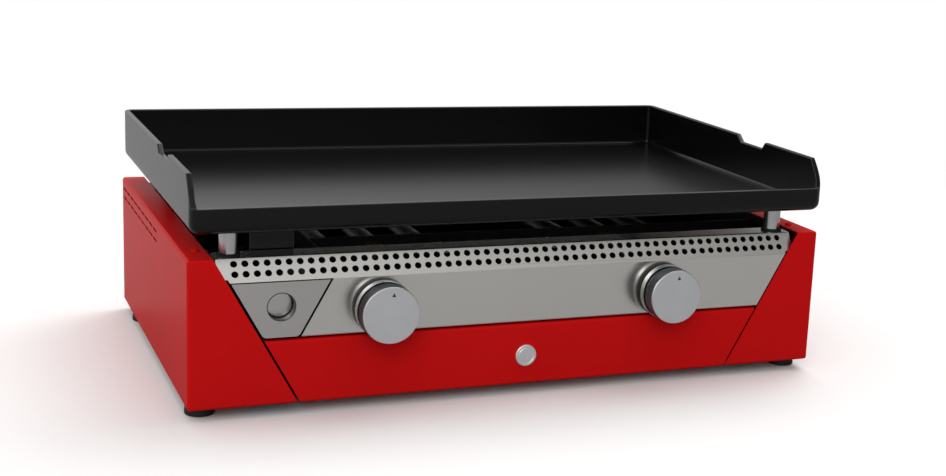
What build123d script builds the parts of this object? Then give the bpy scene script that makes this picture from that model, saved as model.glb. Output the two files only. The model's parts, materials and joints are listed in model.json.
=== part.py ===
from build123d import *
import math
import os

# Tabletop gas griddle: two folded side shells carry a steel control panel, a lower front cover and
# a pull-out grease tray. Two gas valves feed two H-shaped burners under a loose enamelled griddle.
# X runs to the right, Y from front to back, Z up. The origin is under the middle, on the table.

os.makedirs("parts", exist_ok=True)

# Side shells
body_width = 600.0  # over both shells
body_depth = 372.0  # front face to rear face of the shells
body_height = 129.0  # underside to top of the shells
sheet = 1.2  # steel sheet of shells, panels and rails
bend_radius = 2.6  # outside radius of the shells' folds
flange_head = 21.2  # width of a shell's front flange at its top
flange_foot = 93.0  # width of the same flange at its bottom
top_flange = 21.2  # width of a shell's inward top flange
bottom_return = 46.0
rear_return = 18.0
vent_count = 9
vent_length = 19.0
vent_height = 2.4
vent_pitch = 23.4
vent_start = 155.0  # first vent, behind the front face
vent_drop = 9.6  # upper row, below the top
vent_row_gap = 9.0

# Screws that hold the shells: one pair down through the top flanges, two pairs in at the rear
screw_radius = 2.0
screw_head_radius = 3.2
screw_head_height = 1.6
screw_head_edge = 1.0
screw_socket_radius = 1.4
screw_socket_depth = 1.1
screw_length = 6.0
screw_clearance = 0.1
screw_inset = 12.6  # front pair's axis in from the shell's side
screw_setback = 34.0  # front pair's axis behind the front face
rear_screw_inset = 9.0
rear_screw_rise = 24.0  # lower rear screw above the underside
rear_screw_drop = 26.0  # upper rear screw below the top

# Feet
foot_height = 10.0
foot_radius = 13.0
foot_inset_x = 14.5
foot_inset_front = 26.0
foot_inset_rear = 48.0
foot_screw_radius = 2.5
foot_taper = 5.0  # degrees
foot_edge = 1.5
foot_bore = 6.0  # radius and depth of the recess for the screw's head
foot_head_radius = 4.6
foot_head_height = 2.5
foot_slot_width = 1.2
foot_nut_height = 3.5

# Base pan, back panel and side baffles
pan_slot_length = 40.0
pan_slot_width = 5.0
pan_setback = 20.0  # pan's front edge behind the front face
back_panel_drop = 12.0
exhaust_slot_length = 24.0
exhaust_slot_width = 4.0
exhaust_slot_drop = 32.0  # middle row below the back panel's top
exhaust_shift = 36.0  # slots are moved left, away from the gas inlet
baffle_setback = 14.0  # baffle's ends in from the shell's front and rear
baffle_top_flange = 14.0
baffle_foot_flange = 12.0
ledge_reach = 20.0

# Control panel: a flat face, a band leaning back above it, and a flange along the top
panel_gap = 2.1  # dark joint round the panel, tray and cover
panel_drop = 2.0  # panel top below the shell top
face_height = 50.0  # flat face, bottom edge to bend
band_rise = 18.6
band_setback = 13.0
panel_flange = 22.0
band_end_gap = 3.0  # between the band's end and the side baffle
hole_count = 57
hole_pitch = 9.3
hole_radius = 2.95
hole_row_gap = 9.3
hole_first_row = 7.6  # lower row, up the band from the bend

# Knobs and valves
knob_inset = 164.8  # knob axis in from the side of the shell
knob_drop = 28.0  # knob axis below the bend
knob_radius = 24.8  # metal cap
knob_reach = 28.6  # cap's face, in front of the panel
cap_thickness = 1.6
cap_edge = 0.5
grip_radius = 24.5
grip_floor = 2.0  # solid grip in front of the spindle
skirt_radius = 23.5
skirt_wall = 3.0
hub_radius = 7.5
bezel_radius = 25.4
bezel_bore = 24.1
bezel_edge = 0.5
bezel_length = 5.4
gasket_thickness = 5.0
gasket_radius = 25.0
gasket_width = 3.0
push_travel = 3.4
grip_gap = 0.2  # left between the pushed grip and the bezel
skirt_gap = 0.6  # left between the pushed skirt and the gasket
spindle_radius = 4.0
running_gap = 0.05  # radial, spindle in its bores
cup_radius = 7.4
cup_length = 3.0
spring_radius = 5.6
spring_wire = 0.55
spring_length = 3.2
bonnet_radius = 10.0
bonnet_cavity = 8.0
bonnet_start = 6.0  # bonnet's front, behind the panel's front face
bonnet_length = 14.0
valve_width = 24.0
valve_depth = 24.0
valve_height = 26.0
outlet_radius = 6.0
outlet_length = 10.0
manifold_radius = 8.0
manifold_wall = 1.5
manifold_drop = 24.4  # manifold axis below the knob axis
manifold_overrun = 17.0  # manifold beyond the left valve
manifold_right_end = 200.0
feed_radius = 3.0

# Lower cover and its medallion
cover_top_return = 12.0
cover_bottom_return = 34.0
medallion_radius = 10.0
medallion_thickness = 2.2

# Grease tray, behind the panel's left end
tray_head_half = 41.8  # half width of the tray's front at its top
tray_slope = (flange_foot - flange_head) / body_height  # same slant as the shell's flange
tray_corner = 5.0
tray_length = 148.0
trough_wall = 0.8
trough_head_half = 35.5
trough_inset_top = 5.0  # trough's rim below the tray front's top
trough_inset_bottom = 3.0
finger_radius = 12.5
finger_depth = 11.0
finger_edge = 1.5
disc_radius = 11.0
disc_thickness = 0.8
disc_edge = 0.3
finger_drop = 21.6  # finger cup's axis below the tray front's top
cup_wall = 0.8
tray_slack = 0.3

# Burners
burner_centre = 117.5  # from the middle to a burner's own middle
limb_half_gap = 45.5  # limb axis from the burner's middle
limb_radius = 11.0
limb_wall = 1.2
burner_drop = 20.0  # burner axis below the shell's top
rail_setback = 88.0  # front rail's face, behind the shell's front face
rear_rail_setback = 60.0  # rear rail's web, in front of the shell's rear face
port_count = 13
port_width = 1.6
port_length = 12.0
stub_radius = 4.0
stub_length = 6.0
pin_gap = 0.1

# Griddle
plate_side_setback = 1.6  # griddle's sides in from the shells' sides
plate_front_overhang = 7.0
plate_rear_setback = 3.6
plate_lift = 21.5  # griddle's underside above the shells' top
plate_thickness = 5.0
lip_height = 22.4
wall_height = 48.6
wall_slant = 15.7  # side wall's front edge leans back by this
plate_corner = 9.5
plate_bottom_edge = 8.8
inner_corner = 3.5
inner_floor_edge = 3.0
rim_edge = 1.2
lip_edge = 0.6
notch_start = 108.0  # from the griddle's front
notch_length = 57.0
notch_depth = 7.0
notch_slope = 9.0
drain_length = 24.0
drain_width = 14.0
chute_width = 38.0
chute_depth = 28.0
chute_setback = 38.0
chute_wall = 1.5
chute_clearance = 6.0  # above the trough's rim

# Griddle legs
leg_radius = 8.0
leg_inset = 38.0
leg_front_setback = 24.0
leg_rear_setback = 42.0
leg_washer = 1.5
leg_washer_radius = 10.0
leg_stud_radius = 3.0

# Gas inlet at the back
inlet_inset = 72.0
inlet_reach = 16.0
inlet_radius = 10.48
inlet_hex = 13.0
inlet_hex_length = 6.0
pipe_radius = 5.0
pipe_wall = 1.0
pipe_bend = 14.0

# Places worked out from the sizes above
front_y = knob_reach - (knob_reach + body_depth + inlet_reach) / 2
rear_y = front_y + body_depth
half_width = body_width / 2
bottom_z = foot_height
top_z = bottom_z + body_height
panel_top_z = top_z - panel_drop
bend_z = panel_top_z - band_rise
face_bottom_z = bend_z - face_height
cover_top_z = face_bottom_z - panel_gap
knob_x = half_width - knob_inset
knob_z = bend_z - knob_drop
manifold_z = knob_z - manifold_drop
burner_z = top_z - burner_drop
pan_z = bottom_z + 2 * sheet  # upper face of the base pan
pan_front_y = front_y + pan_setback
baffle_x = half_width - top_flange - 0.8
band_half = baffle_x - band_end_gap
rail_y = front_y + rail_setback
rear_rail_y = rear_y - rear_rail_setback
valve_y = front_y + bonnet_start + bonnet_length
manifold_y = valve_y + valve_depth / 2
outlet_y = valve_y + valve_depth + outlet_length
inlet_x = half_width - inlet_inset
sides = ((-1, "left"), (1, "right"))
rear_screw_zs = (bottom_z + rear_screw_rise, top_z - rear_screw_drop)
foot_ys = (front_y + foot_inset_front, rear_y - foot_inset_rear)
foot_places = [(s * (half_width - foot_inset_x), y) for s in (-1, 1) for y in foot_ys]
leg_ys = (front_y + leg_front_setback, rear_y - leg_rear_setback)
leg_places = [(s * (half_width - leg_inset), y) for s in (-1, 1) for y in leg_ys]


def flange_edge(z):
    """Distance from the middle to the shell flange's slanted inner edge at height z."""
    return half_width - flange_foot + tray_slope * (z - bottom_z)


# Side shells: one sheet each, folded into a side wall with four inward flanges
for side, hand in sides:
    with BuildPart() as shell:
        with BuildSketch(Plane.XY.offset(bottom_z)):
            with Locations((side * (half_width - flange_foot / 2), (front_y + rear_y) / 2)):
                Rectangle(flange_foot, body_depth)
        extrude(amount=body_height)
        inner_face = shell.faces().sort_by(Axis.X)[0 if side > 0 else -1]
        fold_edges = [e for e in shell.edges() if e not in inner_face.edges()]
        fillet(fold_edges, radius=bend_radius)
        open_face = shell.faces().filter_by(Axis.X).sort_by(Axis.X)[0 if side > 0 else -1]
        offset(amount=-sheet, openings=open_face)
        # slanted inner edge of the front flange
        with BuildSketch(Plane.XZ.offset(-front_y - bend_radius)):
            with BuildLine():
                Polyline(
                    (side * (half_width - flange_foot), bottom_z),
                    (side * flange_edge(top_z), top_z),
                    (side * flange_edge(top_z), top_z + 5),
                    (0, top_z + 5),
                    (0, bottom_z),
                    close=True,
                )
            make_face()
        extrude(amount=bend_radius + 5, mode=Mode.SUBTRACT)
        # top, bottom and rear flanges are narrower than the front one
        behind_front = (front_y + bend_radius + rear_y + 5) / 2
        length_behind = rear_y + 5 - front_y - bend_radius
        for flange, z in ((top_flange, top_z), (bottom_return, bottom_z)):
            with BuildSketch(Plane.XY.offset(z - bend_radius)):
                with Locations((side * (half_width - flange) / 2, behind_front)):
                    Rectangle(half_width - flange, length_behind)
            extrude(amount=2 * bend_radius, mode=Mode.SUBTRACT)
        with BuildSketch(Plane.XZ.offset(-rear_y - 5)):
            with Locations((side * (half_width - rear_return) / 2, (bottom_z + top_z) / 2)):
                Rectangle(half_width - rear_return, body_height + 10)
        extrude(amount=5 + bend_radius, mode=Mode.SUBTRACT)
        # two rows of vents in the side wall
        vents = [
            (front_y + vent_start + vent_length / 2 + index * vent_pitch, top_z - vent_drop - row * vent_row_gap)
            for row in range(2)
            for index in range(vent_count)
        ]
        with BuildSketch(Plane.YZ.offset(side * half_width - 3 * sheet)):
            with Locations(*vents):
                SlotOverall(vent_length, vent_height)
        extrude(amount=6 * sheet, mode=Mode.SUBTRACT)
        # screw holes in the top flange, foot screw holes in the bottom return
        with Locations((side * (half_width - screw_inset), front_y + screw_setback, top_z)):
            Hole(radius=screw_radius + screw_clearance, depth=2 * sheet)
        with BuildSketch(Plane.XZ.offset(-rear_y - 1)):
            with Locations(*[(side * (half_width - rear_screw_inset), z) for z in rear_screw_zs]):
                Circle(screw_radius + screw_clearance)
        extrude(amount=2 * sheet + 1, mode=Mode.SUBTRACT)
        with Locations(*[(side * (half_width - foot_inset_x), y, bottom_z + sheet) for y in foot_ys]):
            Hole(radius=foot_screw_radius + pin_gap, depth=2 * sheet)
    shell.part.label = f"{hand}_shell"
    export_step(shell.part, f"parts/{hand}_shell.step")

# Button-head screws: down through the top flanges, and in through the rear returns
front_screws = Plane.XY.offset(top_z)
rear_screws = Plane.XZ.offset(-rear_y)
front_screw_places = [(s * (half_width - screw_inset), front_y + screw_setback) for s in (-1, 1)]
rear_screw_places = [(s * (half_width - rear_screw_inset), z) for s in (-1, 1) for z in rear_screw_zs]
with BuildPart() as shell_screws:
    for seat, out, places in (
        (front_screws, 1, front_screw_places),
        (rear_screws, -1, rear_screw_places),
    ):
        with BuildSketch(seat):
            with Locations(*places):
                Circle(screw_head_radius)
        heads = extrude(amount=out * screw_head_height)
        head_edges = heads.edges().filter_by(
            lambda e: abs(abs(seat.to_local_coords(e.center()).Z) - screw_head_height) < 0.01
        )
        fillet(head_edges, radius=screw_head_edge)
        with BuildSketch(seat.offset(out * screw_head_height)):
            with Locations(*places):
                RegularPolygon(radius=screw_socket_radius, side_count=6)
        extrude(amount=-out * screw_socket_depth, mode=Mode.SUBTRACT)
        with BuildSketch(seat):
            with Locations(*places):
                Circle(screw_radius)
        extrude(amount=-out * screw_length)
shell_screws.part.label = "shell_screws"
export_step(shell_screws.part, "parts/shell_screws.step")

# Base pan: the floor plate, lying on the shells' bottom returns
pan_rear_y = rear_y - bend_radius - 0.2
plate_span = body_width - 2 * bend_radius - 0.8  # clear of the folds inside the shells
with BuildPart() as base_pan:
    with BuildSketch(Plane.XY.offset(bottom_z + sheet)):
        with Locations((0, (pan_front_y + pan_rear_y) / 2)):
            Rectangle(plate_span, pan_rear_y - pan_front_y)
        with Locations(*foot_places):
            Circle(foot_screw_radius + pin_gap, mode=Mode.SUBTRACT)
        # breathing slots under the burners
        with Locations((0, (front_y + rear_y) / 2)):
            with GridLocations(1.6 * pan_slot_length, 60, 5, 2):
                SlotOverall(pan_slot_length, pan_slot_width, mode=Mode.SUBTRACT)
    extrude(amount=sheet)
base_pan.part.label = "base_pan"
export_step(base_pan.part, "parts/base_pan.step")

# Rubber feet, each with a screw up through the shell's return and the base pan
for s, hand in sides:
    for row, y in zip(("front", "rear"), foot_ys):
        with BuildPart() as foot:
            with BuildSketch(Plane.XY):
                with Locations((s * (half_width - foot_inset_x), y)):
                    Circle(foot_radius)
            extrude(amount=foot_height, taper=foot_taper)
            fillet(foot.faces().sort_by(Axis.Z)[0].edges(), radius=foot_edge)
            with Locations((s * (half_width - foot_inset_x), y, 0)):
                with Locations(Rotation(180, 0, 0)):
                    CounterBoreHole(foot_screw_radius + pin_gap, foot_bore, foot_bore, foot_height + 5)
        foot.part.label = f"foot_{row}_{hand}"
        export_step(foot.part, f"parts/foot_{row}_{hand}.step")

with BuildPart() as foot_screws:
    with BuildSketch(Plane.XY.offset(foot_bore)):
        with Locations(*foot_places):
            Circle(foot_head_radius)
    extrude(amount=-foot_head_height)
    with BuildSketch(Plane.XY.offset(foot_bore)):
        with Locations(*foot_places):
            Circle(foot_screw_radius)
    extrude(amount=pan_z + foot_nut_height + 1.5 - foot_bore)
    with BuildSketch(Plane.XY.offset(foot_bore - foot_head_height)):
        with Locations(*foot_places):
            Rectangle(1.3 * foot_head_radius, foot_slot_width)
    extrude(amount=foot_head_height / 2, mode=Mode.SUBTRACT)
    # nuts on the pan
    with BuildSketch(Plane.XY.offset(pan_z)):
        with Locations(*foot_places):
            RegularPolygon(radius=foot_head_radius, side_count=6)
    extrude(amount=foot_nut_height)
foot_screws.part.label = "foot_screws"
export_step(foot_screws.part, "parts/foot_screws.step")

# Back panel with exhaust slots and the gas inlet's hole
back_panel_top = top_z - back_panel_drop
back_panel_bottom = bottom_z + bend_radius + 0.2
with BuildPart() as back_panel:
    with BuildSketch(Plane.XZ.offset(-(rear_y - sheet))):
        with Locations((0, (back_panel_bottom + back_panel_top) / 2)):
            Rectangle(plate_span, back_panel_top - back_panel_bottom)
        with Locations((inlet_x, manifold_z)):
            Circle(inlet_radius - 1.0, mode=Mode.SUBTRACT)
        with Locations((-exhaust_shift, back_panel_top - exhaust_slot_drop)):
            with GridLocations(exhaust_slot_length + 10, exhaust_slot_width + 10, 12, 3):
                SlotOverall(exhaust_slot_length, exhaust_slot_width, mode=Mode.SUBTRACT)
        with Locations(*rear_screw_places):
            Circle(screw_radius + screw_clearance, mode=Mode.SUBTRACT)
    extrude(amount=sheet)
back_panel.part.label = "back_panel"
export_step(back_panel.part, "parts/back_panel.step")

# Side baffles: inner walls that carry the shells' tops and the ends of the control panel
baffle_top_z = top_z - sheet
ledge_z = panel_top_z - sheet
for side, hand in sides:
    with BuildPart() as baffle:
        with BuildSketch(Plane.XY.offset(pan_z)):
            with Locations((side * (baffle_x + sheet / 2), (front_y + rear_y) / 2)):
                Rectangle(sheet, body_depth - 2 * baffle_setback)
        extrude(amount=baffle_top_z - pan_z)
        for z, reach, way, start, end in (
            (baffle_top_z - sheet, baffle_top_flange, 1, pan_front_y + 1, rear_y - baffle_setback),
            (pan_z, baffle_foot_flange, -1, rail_y + 16, rear_rail_y - 1),
        ):
            with BuildSketch(Plane.XY.offset(z)):
                flange_x = baffle_x + sheet / 2 + way * (reach - sheet) / 2
                with Locations((side * flange_x, (start + end) / 2)):
                    Rectangle(reach, end - start)
                with Locations(*front_screw_places):
                    Circle(screw_radius + screw_clearance, mode=Mode.SUBTRACT)
            extrude(amount=sheet)
        # ledges under the control panel's flange and the rear rail
        for y in (front_y + band_setback + panel_flange / 2 + 1, rear_y - leg_rear_setback):
            with BuildSketch(Plane.XY.offset(ledge_z - sheet)):
                with Locations((side * (baffle_x - ledge_reach / 2), y)):
                    Rectangle(ledge_reach, panel_flange - 4)
                with Locations(*leg_places):
                    Circle(leg_stud_radius + pin_gap, mode=Mode.SUBTRACT)
            extrude(amount=sheet)
    baffle.part.label = f"side_baffle_{hand}"
    export_step(baffle.part, f"parts/side_baffle_{hand}.step")

# Control panel: one sheet with a flat face, a perforated band leaning back and a top flange
band_angle = math.degrees(math.atan2(band_setback, band_rise))
band_length = math.hypot(band_setback, band_rise)
knob_places = [(s * knob_x, knob_z) for s in (-1, 1)]
tray_x = -(flange_edge(bend_z - panel_gap) - panel_gap - tray_head_half)
tray_top_z = bend_z - 1.0
tray_bottom_z = face_bottom_z + 1.0


def tray_half(z):
    """Half width of the tray's front at height z."""
    return tray_head_half - tray_slope * (tray_top_z - z)


with BuildPart() as control_panel:
    with BuildSketch(Plane.YZ.offset(-band_half)):
        with BuildLine():
            outer = FilletPolyline(
                (front_y + 9, face_bottom_z),
                (front_y, face_bottom_z),
                (front_y, bend_z),
                (front_y + band_setback, panel_top_z),
                (front_y + band_setback + panel_flange, panel_top_z),
                radius=1.6,
            )
            offset(outer, amount=sheet, side=Side.RIGHT)
        make_face()
    extrude(amount=2 * band_half)
    # flat face: slanted ends, clear of the right flange and of the tray's front
    with BuildSketch(Plane.XZ.offset(-front_y + 5)):
        with BuildLine():
            Polyline(
                (flange_edge(face_bottom_z - 5) - panel_gap, face_bottom_z - 5),
                (flange_edge(bend_z + 2.6) - panel_gap, bend_z + 2.6),
                (half_width, bend_z + 2.6),
                (half_width, face_bottom_z - 5),
                close=True,
            )
        make_face()
        with BuildLine():
            Polyline(
                (tray_x + tray_half(face_bottom_z - 5) + panel_gap, face_bottom_z - 5),
                (tray_x + tray_half(bend_z) + panel_gap, bend_z),
                (-half_width, bend_z),
                (-half_width, face_bottom_z - 5),
                close=True,
            )
        make_face()
        with BuildLine():
            Polyline(
                (-flange_edge(bend_z) + panel_gap, bend_z),
                (-flange_edge(bend_z + 2.6) + panel_gap, bend_z + 2.6),
                (-half_width, bend_z + 2.6),
                (-half_width, bend_z),
                close=True,
            )
        make_face()
    extrude(amount=-20, mode=Mode.SUBTRACT)
    # two rows of round holes in the band
    band_plane = Plane(
        origin=(0, front_y, bend_z),
        x_dir=(1, 0, 0),
        z_dir=(0, -math.cos(math.radians(band_angle)), math.sin(math.radians(band_angle))),
    )
    with BuildSketch(band_plane.offset(2)):
        with Locations((0, hole_first_row + hole_row_gap / 2)):
            with GridLocations(hole_pitch, hole_row_gap, hole_count, 2):
                Circle(hole_radius)
    extrude(amount=-5, mode=Mode.SUBTRACT)
    # spindle holes, and stud holes for the front griddle legs
    with BuildSketch(Plane.XZ.offset(-front_y + 1)):
        with Locations(*knob_places):
            Circle(spindle_radius + 1.5)
    extrude(amount=-4, mode=Mode.SUBTRACT)
    with BuildSketch(Plane.XY.offset(panel_top_z + 1)):
        with Locations(*leg_places):
            Circle(leg_stud_radius + pin_gap)
    extrude(amount=-4, mode=Mode.SUBTRACT)
control_panel.part.label = "control_panel"
export_step(control_panel.part, "parts/control_panel.step")

# Brackets from the base pan to the control panel
bracket_x = half_width - 117.0
bracket_rear_y = manifold_y - manifold_radius - 1.5
with BuildPart() as panel_brackets:
    for side in (-1, 1):
        with BuildSketch(Plane.YZ.offset(side * bracket_x)):
            with BuildLine():
                Polyline(
                    (front_y + 14.0, pan_z),
                    (bracket_rear_y, pan_z),
                    (bracket_rear_y, ledge_z),
                    (front_y + band_setback + 4.0, ledge_z),
                    (front_y + 14.0, ledge_z - 12.0),
                    close=True,
                )
            make_face()
        extrude(amount=sheet)
        with BuildSketch(Plane.XY.offset(pan_z)):
            with Locations((side * bracket_x + sheet / 2 + 5, front_y + 24.5)):
                Rectangle(10 + sheet, 7)
        extrude(amount=sheet)
panel_brackets.part.label = "panel_brackets"
export_step(panel_brackets.part, "parts/panel_brackets.step")

# Lower front cover, folded back along its top and bottom
medallion_z = (bottom_z + cover_top_z) / 2 - 1.0
with BuildPart() as lower_front:
    with BuildSketch(Plane.YZ.offset(-half_width)):
        with BuildLine():
            cover_line = FilletPolyline(
                (front_y + cover_bottom_return, bottom_z),
                (front_y, bottom_z),
                (front_y, cover_top_z),
                (front_y + cover_top_return, cover_top_z),
                radius=bend_radius,
            )
            offset(cover_line, amount=sheet, side=Side.RIGHT)
        make_face()
    extrude(amount=body_width)
    with BuildSketch(Plane.XZ.offset(-front_y + 5)):
        for side in (-1, 1):
            with BuildLine():
                Polyline(
                    (side * (flange_edge(bottom_z) - panel_gap), bottom_z - 5),
                    (side * (flange_edge(bottom_z) - panel_gap), bottom_z),
                    (side * (flange_edge(cover_top_z) - panel_gap), cover_top_z),
                    (side * (flange_edge(cover_top_z) - panel_gap), cover_top_z + 5),
                    (side * (half_width + 5), cover_top_z + 5),
                    (side * (half_width + 5), bottom_z - 5),
                    close=True,
                )
            make_face()
    extrude(amount=-cover_bottom_return - 15, mode=Mode.SUBTRACT)
    with BuildSketch(Plane.XZ.offset(-front_y + 1)):
        with Locations((0, medallion_z)):
            Circle(1.6)
    extrude(amount=-4, mode=Mode.SUBTRACT)
lower_front.part.label = "lower_front"
export_step(lower_front.part, "parts/lower_front.step")

# Plain round medallion with a raised rim and a stem through the cover
with BuildPart() as medallion:
    with BuildSketch(Plane.XZ.offset(-front_y)):
        with Locations((0, medallion_z)):
            Circle(medallion_radius)
    extrude(amount=medallion_thickness)
    with BuildSketch(Plane.XZ.offset(-front_y + medallion_thickness)):
        with Locations((0, medallion_z)):
            Circle(medallion_radius - 2.2)
            Circle(medallion_radius - 3.2, mode=Mode.SUBTRACT)
    extrude(amount=-0.5, mode=Mode.SUBTRACT)
    fillet(medallion.faces().sort_by(Axis.Y)[0].outer_wire().edges(), radius=0.8)
    with BuildSketch(Plane.XZ.offset(-front_y)):
        with Locations((0, medallion_z)):
            Circle(1.5)
    extrude(amount=-4)
medallion.part.label = "medallion"
export_step(medallion.part, "parts/medallion.step")

# Grease tray: slanted front, dished finger cup and a trough that slides on a rail
finger_z = tray_top_z - finger_drop
trough_top_z = tray_top_z - trough_inset_top
trough_bottom_z = tray_bottom_z + trough_inset_bottom
trough_front_y = front_y + sheet


def trough_half(z):
    """Half width of the trough's outside at height z."""
    return trough_head_half - tray_slope * (trough_top_z - z)


with BuildPart() as tray_front:
    with BuildSketch(Plane.XZ.offset(-front_y)):
        with BuildLine():
            Polyline(
                (tray_x - tray_half(tray_top_z), tray_top_z),
                (tray_x + tray_half(tray_top_z), tray_top_z),
                (tray_x + tray_half(tray_bottom_z), tray_bottom_z),
                (tray_x - tray_half(tray_bottom_z), tray_bottom_z),
                close=True,
            )
        make_face()
    extrude(amount=-sheet)
    fillet(tray_front.edges().filter_by(Axis.Y).group_by(Axis.Z)[0], radius=tray_corner)
    with BuildSketch(Plane.XZ.offset(-front_y)):
        with Locations((tray_x, finger_z)):
            Circle(finger_radius)
    extrude(amount=-sheet, mode=Mode.SUBTRACT)
tray_front.part.label = "tray_front"
export_step(tray_front.part, "parts/tray_front.step")

with BuildPart() as finger_cup:
    with BuildSketch(Plane.XZ.offset(-front_y)):
        with Locations((tray_x, finger_z)):
            Circle(finger_radius)
    extrude(amount=-finger_depth - cup_wall)
    fillet(finger_cup.faces().sort_by(Axis.Y)[-1].edges(), radius=finger_edge)
    offset(amount=-cup_wall, openings=finger_cup.faces().sort_by(Axis.Y)[0])
finger_cup.part.label = "finger_cup"
export_step(finger_cup.part, "parts/finger_cup.step")

# Steel disc at the bottom of the cup
with BuildPart() as finger_disc:
    with BuildSketch(Plane.XZ.offset(-front_y - finger_depth)):
        with Locations((tray_x, finger_z)):
            Circle(disc_radius)
    extrude(amount=disc_thickness)
    fillet(finger_disc.faces().sort_by(Axis.Y)[0].edges(), radius=disc_edge)
finger_disc.part.label = "finger_disc"
export_step(finger_disc.part, "parts/finger_disc.step")

with BuildPart() as grease_trough:
    for inset, mode in ((0.0, Mode.ADD), (trough_wall, Mode.SUBTRACT)):
        rim_z = trough_top_z + inset
        foot_z = trough_bottom_z + inset
        with BuildSketch(Plane.XZ.offset(-trough_front_y - inset)):
            with BuildLine():
                Polyline(
                    (tray_x - trough_half(rim_z) + inset, rim_z),
                    (tray_x + trough_half(rim_z) - inset, rim_z),
                    (tray_x + trough_half(foot_z) - inset, foot_z),
                    (tray_x - trough_half(foot_z) + inset, foot_z),
                    close=True,
                )
            make_face()
        extrude(amount=-tray_length + 2 * inset, mode=mode)
    with BuildSketch(Plane.XZ.offset(-trough_front_y)):
        with Locations((tray_x, finger_z)):
            Circle(finger_radius)
    extrude(amount=-trough_wall, mode=Mode.SUBTRACT)
grease_trough.part.label = "grease_trough"
export_step(grease_trough.part, "parts/grease_trough.step")

# Rail under the trough, with guiding lips and a rear stop
rail_top_z = trough_bottom_z - tray_slack
rail_half = trough_half(trough_bottom_z + 4) + 1.0
rail_start_y = front_y + cover_top_return + 3
rail_end_y = trough_front_y + tray_length
with BuildPart() as tray_rail:
    with BuildSketch(Plane.XY.offset(rail_top_z - sheet)):
        with Locations((tray_x, (rail_start_y + rail_end_y) / 2)):
            Rectangle(2 * rail_half + 2 * sheet, rail_end_y - rail_start_y)
    extrude(amount=sheet)
    with BuildSketch(Plane.XY.offset(pan_z)):
        for side in (-1, 1):
            with Locations((tray_x + side * (rail_half + sheet / 2), (pan_front_y + rail_end_y) / 2)):
                Rectangle(sheet, rail_end_y - pan_front_y)
    extrude(amount=rail_top_z + 4 - pan_z)
    with BuildSketch(Plane.XY.offset(pan_z)):
        with Locations((tray_x, rail_end_y + tray_slack + sheet / 2)):
            Rectangle(2 * rail_half + 2 * sheet, sheet)
        for side in (-1, 1):
            with Locations((tray_x + side * (rail_half + sheet / 2), rail_end_y + tray_slack / 2)):
                Rectangle(sheet, tray_slack)
    extrude(amount=rail_top_z + 12 - pan_z)
tray_rail.part.label = "tray_rail"
export_step(tray_rail.part, "parts/tray_rail.step")

# Knobs: gasket and bezel stay on the panel; grip, cap and spindle push in and turn
with BuildPart() as knob_gaskets:
    with BuildSketch(Plane.XZ.offset(-front_y)):
        with Locations(*knob_places):
            Circle(gasket_radius)
            Circle(gasket_radius - gasket_width, mode=Mode.SUBTRACT)
    extrude(amount=gasket_thickness)
knob_gaskets.part.label = "knob_gaskets"
export_step(knob_gaskets.part, "parts/knob_gaskets.step")

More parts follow.
